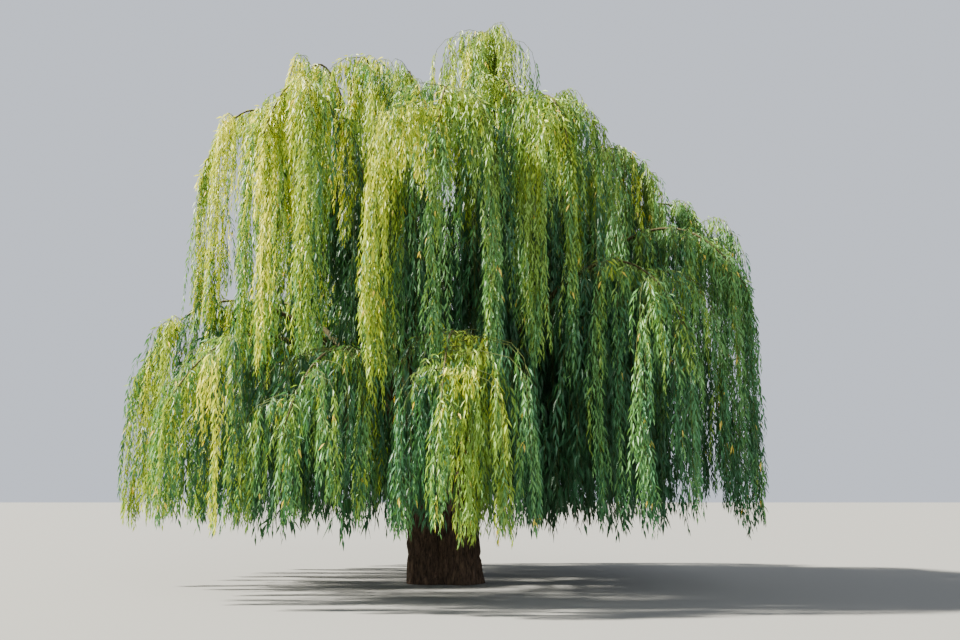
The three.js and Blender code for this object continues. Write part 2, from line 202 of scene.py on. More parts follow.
# Masses that differ from the rest of their tier in the photograph. The shoulder mass at the left is thin.
# The summit's finer tassels spread round it, and those of the highest mass start near both ends of its stem.
# The skirt is thicker inside at the right. The mass at the front has two plumes, at these widths from its
# stem. Its lines that end between these sides, in x, have a lighter green as painted sunlight, and the others
# a darker one as painted shade.
AIRY = {"angle": 186, "within": 20, "finer": 1, "middle": 0, "inner": 4}
SUMMIT_SPREAD = {"angles": ((-15, 200), (140, 190)), "widths": (250, 1100), "rise": 0.4}
HIGHEST = {"number": 1, "finer": 8, "shares": ((0.6, 1.0), (0, 0.25))}
RIGHT = {"cosine": 0.3, "inner": 18}
SUNNY = {
    "angle": 272,
    "tassels": 6,
    "shares": (0.72, 1.0),
    "widths": (280, 830),
    "jitter": 90,
    "sides": (60, 1080),
    # The lighter green of the lines between the sides is painted sunlight, and the darker green of the mass's
    # other lines is painted shade
    "tone_and_painted_light": 0.2,
    "shade": -0.12,
}

# Kinds of shoot: how far apart they stand, their length and spread, how far they rise before they hang as a
# share of the spread, the size of their leaves, and how much lighter or darker their green is, where the
# darker green of middle and inner shoots is painted shade
SHOOT_VALUES = ("pitch", "length", "spread", "rise", "leaf", "tone_and_painted_light")
SHOOTS = {
    "stem": (120, (750, 1450), (60, 260), 0.25, 1.0, 0),
    "hanging": (245, (750, 1450), (30, 185), 0.22, 1.0, 0),
    "cover": (61, (190, 420), (30, 190), 0.75, 1.0, 0),
    "hem": (190, (300, 620), (40, 210), 0.2, 1.0, 0),
    # Middle and inner shoots have a darker green, as painted shade inside the crown
    "middle": (300, (800, 1500), (80, 330), 0.2, 1.2, -0.35),
    "inner": (430, (900, 1700), (120, 420), 0.2, 1.7, -0.5),
}
# Cover shoots start on this last share of the bare bough, and hide this first share of each tassel. Hem
# shoots start from this share of a tassel on.
COVER_SHARES = (0.45, 0.18)
HEM_SHARE = 0.68
LINE_POINTS = 17
SHORT_POINTS = 9
LINE_CROWDING = 1.35

# How shoots stand on their line: the turn from one to the next, how far they crowd to its start, how much
# they lean outwards and onwards, the room they keep above the hem, and the shortest that is kept
GOLDEN_ANGLE = 137.5
TURN_SPREAD = 25
CROWDING = 1.18
OUTWARDS = 0.35
ONWARDS = 0.15
HEM_ROOM = (-120, 260)
FITTED_WITHIN = 1.35
SHORTEST_SHOOT = 180
# A hanging tassel's shoots spread by the first number at its start, and by less with each share along it
TASSEL_TAPER = (1.15, 0.45)
FULL_LENGTH = 900
LEAST_SPREAD = 0.5
LEAN = 0.035
# The curve of one shoot: how fast it spreads and rises, and the powers of its lean and its fall
SHOOT_BOW = 4.5
SHOOT_RISE = 3.2
SHOOT_LEAN = 1.6
SHOOT_FALL = 1.12
# How much the green of a line's shoots differs from the next line's, to the right of a place in x and
# elsewhere, and how much it differs from shoot to shoot
TONE_RIGHT_FROM = 300
TONE_SPREAD_RIGHT = 0.08
TONE_SPREAD = 0.15
SHOOT_TONE_SPREAD = 0.05

# Leaves: their pitch along a shoot, sparser by a power of their size, how far along it the first one is,
# how they turn and lean, their length, and their width, widest place and fold as shares
LEAF = {
    "pitch": 42,
    "fewest": 6,
    "sparser": 1.2,
    "first": 0.04,
    "turn": 0.35,
    "lean": (16, 46),
    "straighter": 0.3,
    "droop": 0.25,
    "roll": 0.7,
    "length": (106, 172),
    "shorter": 0.35,
    "young": (0.6, 3),
    "width": 0.22,
    "widths": (0.85, 1.15),
    "widest": 0.4,
    "fold": 0.18,
    "sag": 0.1,
}

# Greens from the darkest to the lightest, then the yellow of single short runs
LEAF_COLOURS = [
    ("deep_green", (34, 72, 44)),
    ("blue_green", (53, 97, 60)),
    ("mid_green", (75, 117, 62)),
    ("fresh_green", (101, 132, 50)),
    ("olive_green", (128, 149, 39)),
    ("yellow_green", (159, 169, 40)),
    ("pale_green", (195, 197, 64)),
    ("yellow", (186, 166, 60)),
]
GREENS = len(LEAF_COLOURS) - 1
LEAF_SHEEN = {"roughness": 0.5, "specular": 0.28, "through": 0.2}

# Where the greens lie, in shares of the crown's reach and height: lighter to the left, up and outwards as
# painted sunlight, and darker to the right, low and inside as painted shade
PAINTED_LIGHT_PALETTE = {
    "span": (6000, 6000, 10300),
    "level": 0.45,
    "side": 0.34,
    "to_left": 0.5,
    "to_front": 0.1,
    "height": (0.55, 0.5),
    "radius": (0.22, 0.6),
}
# One shoot in six has a yellow run, this long to each side as a share of the shoot, if its leaves are small
YELLOW = {"one_in": 6, "run": 0.027, "leaf": 1.1}

# Radii of the finest wood: a stem's tip, a twig at both ends, and a shoot at its start and bend, with the
# least and largest share of that by its length
STEM_TIP = 8
TWIG_RADII = (6.5, 2.5)
SHOOT_RADII = (4.2, 2.8)
SHOOT_SIZES = (0.6, 1.2)
SHOOT_STEPS = (0, 0.3, 1.0)

# The trunk's mesh: rings and sides of each stem, the share of a leader that is fused with it and how fine
# that is, the size in metres of the cells that fuse them, and how often the skin is softened
TRUNK_RINGS = 40
TRUNK_SIDES = 72
FUSED_SHARE = 0.11
FUSED_PITCH = 60
FUSED_SIDES = 24
VOXEL = 0.026
SOFTENED = 4
# A bough's mesh: where a leader's own wood starts, how far each runs on past its bare length, how fine it
# is, and its waver: how far it strays, how slowly, and where its noise is read for x, y and z
LEADER_FROM = 0.07
RUN_ON = 0.01
BOUGH_PITCH = 55
BOUGH_SIDES = 11
WAVER = 22
WAVER_SCALE = 0.0011
WAVER_SHIFTS = ((0, 0, 0), (9.3, 1.5, 7.9), (6.3, 0.2, 2.7))

# The bark's relief: how long its plates are for their width, how many there are to a metre, and its depth
# in metres. The trunk's flat cut is all that lies lower than GROUND, in metres.
TRUNK_RELIEF = {"stretch": 5.0, "scale": 11.0, "depth": 0.042}
BOUGH_RELIEF = {"stretch": 4.0, "scale": 17.0, "depth": 0.011}
RELIEF_SEED = 7.3
GROUND = 0.012

# The bark's materials: colours in the furrows, darker as painted shade, between them and on the ridges,
# plates to a metre, how long they are for their width, and the depth of the finest relief in metres
BARKS = {
    # The trunk's bark is darkened overall, as painted shade under the crown
    "bark": (((16, 11, 9), (50, 37, 29), (108, 88, 70)), 11, 5, 0.012),
    "young_bark": (((30, 27, 15), (62, 56, 30), (90, 82, 46)), 24, 5, 0.005),
    "twig_bark": (((38, 44, 18), (62, 74, 28), (84, 96, 40)), 60, 6, 0.002),
}

# The studio. A light shines from its place to the origin, and its angle is the width of its disc.
CAMERA = {"place": (0.63, -18.5, 1.6), "pitch": 99.8, "sensor": 36, "lens": 37.5, "reach": 400}
FLOOR = {"half": 150, "colour": (100, 100, 98), "roughness": 0.9, "specular": 0.1}
SKY = {"colour": (0.83, 0.89, 1.0, 1), "strength": 0.92}
LIGHTS = [
    {"name": "key", "place": (-10, 0, 10.5), "strength": 39, "angle": 4, "colour": (1.0, 0.95, 0.83)},
    {"name": "fill", "place": (4, -12, 7), "strength": 2.8, "angle": 35, "colour": (0.93, 0.98, 1.0)},
]

UP = np.array([0.0, 0.0, 1.0])


# Random numbers and small functions


def seeded(seed):
    """The source's random numbers from 0 to 1."""
    state = seed

    def draw():
        nonlocal state
        state = (state + 0x6D2B79F5) & 0xFFFFFFFF
        mixed = (state ^ (state >> 15)) * (1 | state) & 0xFFFFFFFF
        mixed = ((mixed + ((mixed ^ (mixed >> 7)) * (61 | mixed) & 0xFFFFFFFF)) ^ mixed) & 0xFFFFFFFF
        return (mixed ^ (mixed >> 14)) / 4294967296

    return draw


def signed(random):
    return 2 * random() - 1


def mix(a, b, share):
    return a + (b - a) * share


def polar(radius, angle, z=0.0):
    turn = math.radians(angle)
    return np.array([radius * math.cos(turn), radius * math.sin(turn), z])


def around(terms, angle):
    turn = math.radians(angle)
    mean, side, waist, back = terms
    return mean + side * math.cos(turn) + waist * math.cos(2 * turn) + back * math.sin(turn)


def apart(a, b):
    """The angle between two directions, in degrees."""
    gap = (a - b) % 360
    return min(gap, 360 - gap)


def unit(vectors):
    return vectors / np.maximum(np.linalg.norm(vectors, axis=-1, keepdims=True), 1e-9)


def along_line(points, distances):
    """The points at some distances along a line of points."""
    spans = np.linalg.norm(np.diff(points, axis=0), axis=1)
    marks = np.concatenate([[0], np.cumsum(spans)])
    return np.stack([np.interp(distances, marks, points[:, k]) for k in range(3)], axis=1)


def line_length(points):
    return float(np.linalg.norm(np.diff(points, axis=0), axis=1).sum())


def walk(points, pace):
    """Points at an even pace along a line."""
    length = line_length(points)
    count = math.ceil(length / pace)
    return along_line(points, np.arange(count + 1) * length / count)


def nearest(places, points, weight):
    """The distance from each point to the nearest place, with heights weighted."""
    if len(places) == 0:
        return np.full(len(points), np.inf)
    scale = np.array([1, 1, weight])
    gaps = (points * scale)[:, None, :] - (places * scale)[None, :, :]
    return np.sqrt((gaps**2).sum(axis=2).min(axis=1))


class Arch:
    """One cubic curve from the bough's foot over its crest to the outer end of its foliage's stem."""

    def __init__(self, foot, end, crest, rise):
        near = mix(foot, end, ARCH_PLAN[0])
        far = mix(foot, end, ARCH_PLAN[1])
        near[2] = mix(foot[2], crest, rise)
        t, s = CREST_AT, 1 - CREST_AT
        others = s**3 * foot[2] + 3 * s * s * t * near[2] + t**3 * end[2]
        far[2] = (crest - others) / (3 * s * t * t)
        self.corners = np.array([foot, near, far, end])

    def at(self, t):
        t = np.atleast_1d(np.asarray(t, float))
        s = 1 - t
        return np.stack([s**3, 3 * s * s * t, 3 * s * t * t, t**3], axis=1) @ self.corners

    def way(self, t):
        low, high = max(t - 1e-4, 0), min(t + 1e-4, 1)
        return unit(self.at(high)[0] - self.at(low)[0])

    def length(self):
        return line_length(self.at(np.linspace(0, 1, ARCH_SAMPLES)))


def bough_radius(plan, share):
    foot, tip = plan["radius"]
    flare = 1 + FOOT_FLARE * np.exp(-share / FOOT_FLARE_LENGTH)
    return mix(foot, tip, share / plan["bare"]) * flare


def plan_boughs():
    """The boughs of all tiers: leaders from the trunk, then the others, each from the nearest leader."""
    random = seeded(SEED)
    boughs = []
    for plan in TIERS:
        started = {}
        for i in range(plan["count"]):
            angle = plan["turn"] + 360 * i / plan["count"] + TURN_JITTER * signed(random)
            reach = around(plan["reach"], angle) * (1 + REACH_JITTER * signed(random))
            crest = around(plan["crest"], angle) * (1 + CREST_JITTER * signed(random))
            if plan["parent"]:
                leaders = boughs[: LEADERS["count"]]
                leader = min(leaders, key=lambda b: apart(b["angle"], angle))
                before = started.get(leader["number"], 0)
                started[leader["number"]] = before + 1
                foot = leader["curve"].at(plan["parent"][0] + plan["parent"][1] * before)[0]
            else:
                stem = STEMS[0 if math.cos(math.radians(angle)) < 0 else 1]
                foot = polar(LEADER_OFFSET, angle, stem["height"] - LEADER_SINK)
                foot += np.array([stem["top"][0], stem["top"][1], 0])
            end = polar(reach, angle, crest - plan["fall"])
            boughs.append(
                {
                    "tier": plan,
                    "angle": angle,
                    "number": i + 1,
                    "curve": Arch(foot, end, crest, plan["rise"]),
                    "hem": around(plan["hem"], angle),
                }
            )
    return boughs


def stem_points(bough):
    bare = bough["tier"]["bare"]
    points = bough["curve"].at(mix(bare, 1, np.arange(STEM_STEPS + 1) / STEM_STEPS))
    points[0] += bough["curve"].way(bare) * GAP
    return points


def tassel_points(angle, start, side, width, hem, bend, steps):
    """A tassel: out from a stem that runs at an angle by a width to one side, then down to its hem."""
    steps = np.asarray(steps, float)
    along = polar(1, angle)
    across = np.cross(along, UP) * side
    out = 1 - np.exp(-TASSEL["bow"] * steps)
    lift = TASSEL["lift"] * width * np.sin(math.pi * steps ** TASSEL["peak"])
    sway = TASSEL["sway"] * bend * np.sin(math.pi * steps)
    return (
        start
        + across * (width * out + sway)[:, None]
        + along * (TASSEL["outward"] * width * out - sway)[:, None]
        + UP * (lift - (start[2] - hem) * steps ** TASSEL["fall"])[:, None]
    )


def limb_places(boughs):
    """Places along all arches, with the radius and the number of the bough at each."""
    places, radii, owners = [], [], []
    for index, bough in enumerate(boughs):
        steps = math.ceil(bough["curve"].length() / LIMB_PITCH)
        shares = np.arange(steps + 1) / steps
        wood = bough_radius(bough["tier"], shares)
        places.append(bough["curve"].at(shares))
        radii.append(np.where(shares < bough["tier"]["bare"], wood, bough["tier"]["radius"][1]))
        owners.append(np.full(steps + 1, index))
    return np.concatenate(places), np.concatenate(radii), np.concatenate(owners)


def hangs_clear(points, index, limbs, others):
    """Whether a tassel hangs clear of the other masses' tassels and of every limb but its own."""
    first = math.ceil(TASSEL["root_length"] / TASSEL["pace"])
    places = walk(points, TASSEL["pace"])[first:]
    if len(places) == 0:
        return True
    if (nearest(others, places, HEIGHT_WEIGHT) <= TASSEL["clear"]).any():
        return False
    at, radii, owners = limbs
    other = owners != index
    gaps = np.linalg.norm(places[:, None, :] - at[other][None, :, :], axis=2) - radii[other]
    return bool((gaps > CLEAR).all())


def plan_tassels(boughs, limbs):
    """The tassels of every mass, narrowed or shortened where they would meet another mass or a limb."""
    random = seeded(SEED + 1)
    tries = [(drop, narrow) for drop in TRIED_DROPS for narrow in TRIED_WIDTHS]
    taken = []
    for index, bough in enumerate(boughs):
        bough["tassels"] = []
        others = np.concatenate(taken) if taken else np.zeros((0, 3))
        own = [np.zeros((0, 3))]
        stem = stem_points(bough)
        plan = bough["tier"]
        for i in range(plan["tassels"] + 1):
            share = mix(TASSEL["from"], TASSEL["to"], i / plan["tassels"])
            tip = i == plan["tassels"]
            start = stem[-1] if tip else along_line(stem, [share * line_length(stem)])[0]
            side = 1 if i % 2 else -1
            width = 0 if tip else plan["half_width"] * mix(TASSEL["narrowest"], 1, random())
            ragged = TASSEL["raggedness"] * (start[2] - bough["hem"]) * random()
            bend = signed(random)
            for drop, narrow in tries:
                hem = mix(start[2], bough["hem"] + ragged, drop)
                shape = (bough["angle"], start, side, width * narrow, hem, bend)
                points = tassel_points(*shape, TASSEL["steps"])
                if hangs_clear(points, index, limbs, others):
                    bough["tassels"].append({"shape": shape, "points": points, "share": share})
                    own.append(walk(points, TASSEL["pace"]))
                    break
        taken.append(np.concatenate(own))


# What the scene adds to the masses


def extras_of(bough):
    return dict(zip(EXTRA_VALUES, EXTRAS[bough["tier"]["foliage"]]))


def mark_masses(boughs):
    """Marks the masses that differ from the rest of their tier."""
    skirts = [bough for bough in boughs if bough["tier"] is SKIRT]
    sunny = min(skirts, key=lambda bough: apart(bough["angle"], SUNNY["angle"]))
    for bough in boughs:
        plan = bough["tier"]
        to_right = math.cos(math.radians(bough["angle"]))
        bough["sunny"] = bough is sunny
        bough["airy"] = plan is SHOULDERS and apart(bough["angle"], AIRY["angle"]) < AIRY["within"]
        bough["highest"] = plan is SUMMIT and bough["number"] == HIGHEST["number"]
        bough["right"] = plan is SKIRT and to_right > RIGHT["cosine"]


def finer_tassel(bough, tassel, i, random):
    """One more tassel close beside a tassel of the plan."""
    _, start, side, width, hem, bend = tassel["shape"]
    shift = random.uniform(-FINER["shift"], FINER["shift"])
    share = np.clip(tassel["share"] + shift, 0.0, 1.0)
    if bough["highest"]:
        share = random.uniform(*HIGHEST["shares"][i % 2])
    place = bough["curve"].at(mix(bough["tier"]["bare"], 1, share))[0]
    near = width * random.uniform(*FINER["width"]) + random.uniform(*FINER["beside"])
    ragged = random.random() ** 2 * FINER["raggedness"] * (place[2] - hem)
    bend_here = bend + random.uniform(-FINER["bend"], FINER["bend"])
    turned = side if width > 0 or i % 2 else -side
    angle = bough["angle"]
    if bough["tier"] is SUMMIT:
        angle = random.uniform(*SUMMIT_SPREAD["angles"][i % 2])
        near = random.uniform(*SUMMIT_SPREAD["widths"])
    return angle, place, turned, near, hem + ragged, bend_here


def sunny_tassel(bough, i, random):
    """One tassel of the two plumes that hang in the sun."""
    place = bough["curve"].at(random.uniform(*SUNNY["shares"]))[0]
    near = SUNNY["widths"][i % 2] + random.uniform(-SUNNY["jitter"], SUNNY["jitter"])
    return bough["angle"], place, -1, near, bough["hem"], random.uniform(-1, 1)


def middle_tassel(bough, i, count, random):
    """One tassel that fills the middle of a mass."""
    plan = bough["tier"]
    share = MIDDLE["until"] * (i + random.random()) / count
    start = bough["curve"].at(mix(plan["bare"], 1, share))[0]
    width = plan["half_width"] * random.uniform(*MIDDLE["width"])
    hem = bough["hem"] + MIDDLE["raggedness"] * random.random() * (start[2] - bough["hem"])
    return bough["angle"], start, 1 if i % 2 else -1, width, hem, random.uniform(-1, 1)


def inner_tassel(bough, i, index, limbs, random):
    """One tassel from the bare bough, or None if no try hangs clear of the other limbs."""
    extra = extras_of(bough)
    bottom = bough["hem"] - extra["drop"]
    for attempt in range(INNER["tries"]):
        share = bough["tier"]["bare"] * random.uniform(*extra["starts"])
        start = bough["curve"].at(share)[0]
        width = random.uniform(*extra["widths"])
        hem = bottom + INNER["raggedness"] * random.random() * (start[2] - bottom)
        bend = random.uniform(-1, 1)
        if start[2] - hem < INNER["shortest"]:
            continue
        shape = (bough["angle"], start, 1 if i % 2 else -1, width, hem, bend)
        points = tassel_points(*shape, np.linspace(0, 1, INNER["points"]))
        if hangs_clear(points, index, limbs, np.zeros((0, 3))):
            return shape
    return None


def add_tassels(boughs, limbs, random):
    """More tassels for every mass, as the shapes that tassel_points takes."""
    mark_masses(boughs)
    for index, bough in enumerate(boughs):
        extra = AIRY if bough["airy"] else extras_of(bough)
        finer = HIGHEST["finer"] if bough["highest"] else extra["finer"]
        inner = extra["inner"] + (RIGHT["inner"] if bough["right"] else 0)
        strands = [tassel["shape"] for tassel in bough["tassels"]]
        for tassel in bough["tassels"]:
            strands += [finer_tassel(bough, tassel, i, random) for i in range(finer)]
        if bough["sunny"]:
            strands += [sunny_tassel(bough, i, random) for i in range(SUNNY["tassels"])]
        bough["strands"] = strands
        count = extra["middle"]
        bough["middle"] = [middle_tassel(bough, i, count, random) for i in range(count)]
        found = [inner_tassel(bough, i, index, limbs, random) for i in range(inner)]
        bough["inner"] = [shape for shape in found if shape]


# Meshes


def new_piece(name, vertices, triangles, materials, indices=None, smooth=True):
    mesh = bpy.data.meshes.new(name)
    mesh.vertices.add(len(vertices))
    mesh.vertices.foreach_set("co", np.ascontiguousarray(vertices, np.float32).ravel())
    mesh.loops.add(3 * len(triangles))
    mesh.loops.foreach_set("vertex_index", np.ascontiguousarray(triangles, np.int32).ravel())
    mesh.polygons.add(len(triangles))
    mesh.polygons.foreach_set("loop_start", np.arange(0, 3 * len(triangles), 3, dtype=np.int32))
    for material in materials:
        mesh.materials.append(material)
    if indices is not None:
        mesh.polygons.foreach_set("material_index", np.ascontiguousarray(indices, np.int32))
    mesh.polygons.foreach_set("use_smooth", np.full(len(triangles), smooth))
    mesh.update()
    mesh.validate()
    piece = bpy.data.objects.new(name, mesh)
    bpy.context.scene.collection.objects.link(piece)
    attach(piece, "root")
    return piece


def tube_faces(rings, sides):
    """The triangles of one closed tube: its wall, and the fans over its first and last ring."""
    first = (np.arange(rings - 1) * sides)[:, None]
    side = np.arange(sides)[None, :]
    a = (first + side).ravel()
    b = (first + (side + 1) % sides).ravel()
    walls = [np.stack([a, b, b + sides], 1), np.stack([a, b + sides, a + sides], 1)]
    last = (rings - 1) * sides
    fan = np.arange(1, sides - 1)
    root = np.stack([0 * fan, fan + 1, fan], 1)
    tip = np.stack([0 * fan + last, last + fan, last + fan + 1], 1)
    return np.concatenate([*walls, root, tip])


def tubes(paths, radii, sides):
    """Closed tapering tubes round many lines with the same number of points."""
    count, rings = paths.shape[:2]
    ways = np.empty_like(paths)
    ways[:, 1:-1] = paths[:, 2:] - paths[:, :-2]
    ways[:, 0] = paths[:, 1] - paths[:, 0]
    ways[:, -1] = paths[:, -1] - paths[:, -2]
    ways = unit(ways)
    across = np.tile([0.0, 1.0, 0.0], (count, 1))
    across[np.abs(ways[:, 0, 1]) > 0.9] = (1.0, 0.0, 0.0)
    turns = 2 * math.pi * np.arange(sides) / sides
    vertices = np.empty((count, rings, sides, 3))
    for ring in range(rings):
        way = ways[:, ring]
        across = unit(across - way * (across * way).sum(axis=1, keepdims=True))
        other = np.cross(way, across)
        spokes = (
            np.cos(turns)[None, :, None] * across[:, None, :]
            + np.sin(turns)[None, :, None] * other[:, None, :]
        )
        vertices[:, ring] = paths[:, ring, None, :] + radii[:, ring, None, None] * spokes
    faces = tube_faces(rings, sides)[None] + (np.arange(count) * rings * sides)[:, None, None]
    return vertices.reshape(-1, 3), faces.reshape(-1, 3)


def withes(paths, radii):
    """Closed three-sided tubes along lines of three points, each ending in a point."""
    ways = unit(paths[:, 1:] - paths[:, :-1])
    across = unit(np.cross(ways, np.array([0.31, 0.95, 0.05])))
    other = np.cross(ways, across)
    turns = 2 * math.pi * np.arange(3) / 3
    spokes = (
        np.cos(turns)[None, None, :, None] * across[:, :, None, :]
        + np.sin(turns)[None, None, :, None] * other[:, :, None, :]
    )
    rings = paths[:, :2, None, :] + radii[:, :, None, None] * spokes
    vertices = np.concatenate([rings.reshape(len(paths), 6, 3), paths[:, 2:]], 1)
    one = [(0, 2, 1)]
    for a in range(3):
        b = (a + 1) % 3
        one += [(a, b, b + 3), (a, b + 3, a + 3), (a + 3, b + 3, 6)]
    triangles = np.array(one)[None] + (np.arange(len(paths)) * 7)[:, None, None]
    return vertices.reshape(-1, 3), triangles.reshape(-1, 3)


def joined(parts):
    """Several meshes as one, each given as vertices and triangles."""
    vertices, triangles, base = [], [], 0
    for v, t in parts:
        vertices.append(v)
        triangles.append(t + base)
        base += len(v)
    return np.concatenate(vertices), np.concatenate(triangles)


# Trunk and boughs


def stem_at(stem, z):
    """The middle and radius of one of the trunk's stems at a height."""
    low = z < TRUNK["waist"]
    start, end = (stem["foot"], stem["waist"]) if low else (stem["waist"], stem["top"])
    share = z / TRUNK["waist"] if low else (z - TRUNK["waist"]) / (stem["height"] - TRUNK["waist"])
    return [mix(a, b, share) for a, b in zip(start, end)]


def trunk_stem(stem):
    """One stem of the trunk, with root flare and ribs, closed by flat ends."""
    heights = list(np.linspace(0, stem["height"] - TRUNK["cap"], TRUNK_RINGS))
    heights += [stem["height"] - 0.4 * TRUNK["cap"], stem["height"]]
    turns = 2 * math.pi * np.arange(TRUNK_SIDES) / TRUNK_SIDES
    rings = []
    for z in heights:
        x, y, radius = stem_at(stem, z)
        over = max(0, z - stem["height"] + TRUNK["cap"]) / TRUNK["cap"]
        cap = mix(1, TRUNK["cap_share"], over**2)
        flare = 1 + TRUNK["flare"] * math.exp(-z / TRUNK["flare_height"])
        depth = TRUNK["rib_depth"] * math.exp(-z / TRUNK["rib_height"])
        out = radius * flare * (1 + depth * np.cos(TRUNK["ribs"] * turns)) * cap
        rings.append(np.stack([x + out * np.cos(turns), y + out * np.sin(turns), 0 * turns + z], 1))
    return np.concatenate(rings) / 1000, tube_faces(len(heights), TRUNK_SIDES)


def furrow(place, stretch, scale, depth):
    """How far the bark lies below its ridges at a place: long plates with furrows between them."""
    warp = noise.noise(place * 2.1 + Vector((RELIEF_SEED, 0, 0))) * 0.35
    cell = Vector((place.x * scale + warp, place.y * scale + warp, place.z * scale / stretch))
    distances = noise.voronoi(cell, distance_metric="DISTANCE")[0]
    edge = min(1.0, (distances[1] - distances[0]) * 2.6)
    plate = edge * edge * (3 - 2 * edge)
    rough = noise.fractal(place * 26 + Vector((0, RELIEF_SEED, 0)), 0.7, 2.1, 4)
    return depth * (plate - 0.75 + 0.16 * rough)


def relieved(mesh, relief, stands):
    """Moves each vertex along its normal by the bark's relief. Where it stands, the cut stays flat."""
    count = len(mesh.vertices)
    places = np.empty(3 * count, np.float32)
    normals = np.empty(3 * count, np.float32)
    mesh.vertices.foreach_get("co", places)
    mesh.vertices.foreach_get("normal", normals)
    places, normals = places.reshape(-1, 3), normals.reshape(-1, 3)
    moved = np.array([furrow(Vector(place), **relief) for place in places.tolist()])
    out = places + normals * moved[:, None]
    if stands:
        out[places[:, 2] < GROUND, 2] = 0
        out[:, 2] = np.maximum(out[:, 2], 0)
    mesh.vertices.foreach_set("co", out.astype(np.float32).ravel())
    mesh.update()


def bough_tube(bough, start, stop, pitch, sides):
    """A bough's wood from one share of its arch to another, with a slight waver."""
    curve, plan = bough["curve"], bough["tier"]
    count = max(4, math.ceil(curve.length() * (stop - start) / pitch))
    shares = np.linspace(start, stop, count + 1)
    points = curve.at(shares)
    way = Vector((bough["angle"] * 0.17, 3, 5))
    for k, point in enumerate(points):
        amount = WAVER * math.sin(math.pi * min(1, shares[k] / plan["bare"]))
        place = Vector(point) * WAVER_SCALE + way
        points[k] += np.array([noise.noise(place + Vector(shift)) for shift in WAVER_SHIFTS]) * amount
    radii = bough_radius(plan, np.minimum(shares, plan["bare"]))
    return tubes(points[None] / 1000, radii[None] / 1000, sides)


def make_trunk(boughs, materials):
    """The trunk's stems and the feet of the leaders, fused into one skin with the bark's relief."""
    parts = [trunk_stem(stem) for stem in STEMS]
    for bough in boughs[: LEADERS["count"]]:
        parts.append(bough_tube(bough, 0, FUSED_SHARE, FUSED_PITCH, FUSED_SIDES))
    vertices, triangles = joined(parts)
    rough = new_piece("trunk_bark", vertices, triangles, [])
    remesh = rough.modifiers.new("fuse", "REMESH")
    remesh.mode = "VOXEL"
    remesh.voxel_size = VOXEL
    soften = rough.modifiers.new("soften", "SMOOTH")
    soften.factor = 0.5
    soften.iterations = SOFTENED
    graph = bpy.context.evaluated_depsgraph_get()
    mesh = bpy.data.meshes.new_from_object(rough.evaluated_get(graph))
    rough.modifiers.clear()
    old = rough.data
    rough.data = mesh
    bpy.data.meshes.remove(old)
    relieved(mesh, TRUNK_RELIEF, True)
    mesh.materials.clear()
    mesh.materials.append(materials["bark"])
    mesh.polygons.foreach_set("use_smooth", np.full(len(mesh.polygons), True))
    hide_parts("trunk")


def make_boughs(boughs, materials):
    """One piece of bark for the bare boughs of each tier."""
    for plan in TIERS:
        mine = [b for b in boughs if b["tier"] is plan]
        start = LEADER_FROM if plan is LEADERS else 0.0
        stop = plan["bare"] + RUN_ON
        parts = [bough_tube(bough, start, stop, BOUGH_PITCH, BOUGH_SIDES) for bough in mine]
        vertices, triangles = joined(parts)
        piece = new_piece(f"{plan['bough']}_bark", vertices, triangles, [materials["young_bark"]])
        relieved(piece.data, BOUGH_RELIEF, False)
        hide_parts(*[f"{plan['bough']}_{b['number']}" for b in mine])


# Shoots


def strand_lines(bough):
    """The smooth lines that shoots hang from, as (kind, points): the arch, the tassels and the inner ones."""
    bare = bough["tier"]["bare"]
    curve = bough["curve"]
    steps = np.linspace(0, 1, LINE_POINTS) ** LINE_CROWDING
    lines = [
        ("stem", curve.at(np.linspace(bare, 1, LINE_POINTS))),
        ("cover", curve.at(np.linspace(bare * (1 - COVER_SHARES[0]), 1, LINE_POINTS))),
    ]
    for shape in bough["strands"]:
        tassel = tassel_points(*shape, steps)
        length = line_length(tassel)
        start = np.linspace(0, COVER_SHARES[1], SHORT_POINTS) * length
        end = np.linspace(HEM_SHARE, 1, SHORT_POINTS) * length
        lines.append(("hanging", tassel))
        lines.append(("cover", along_line(tassel, start)))
        lines.append(("hem", along_line(tassel, end)))
    for kind in ("middle", "inner"):
        lines += [(kind, tassel_points(*shape, steps)) for shape in bough[kind]]
    return lines


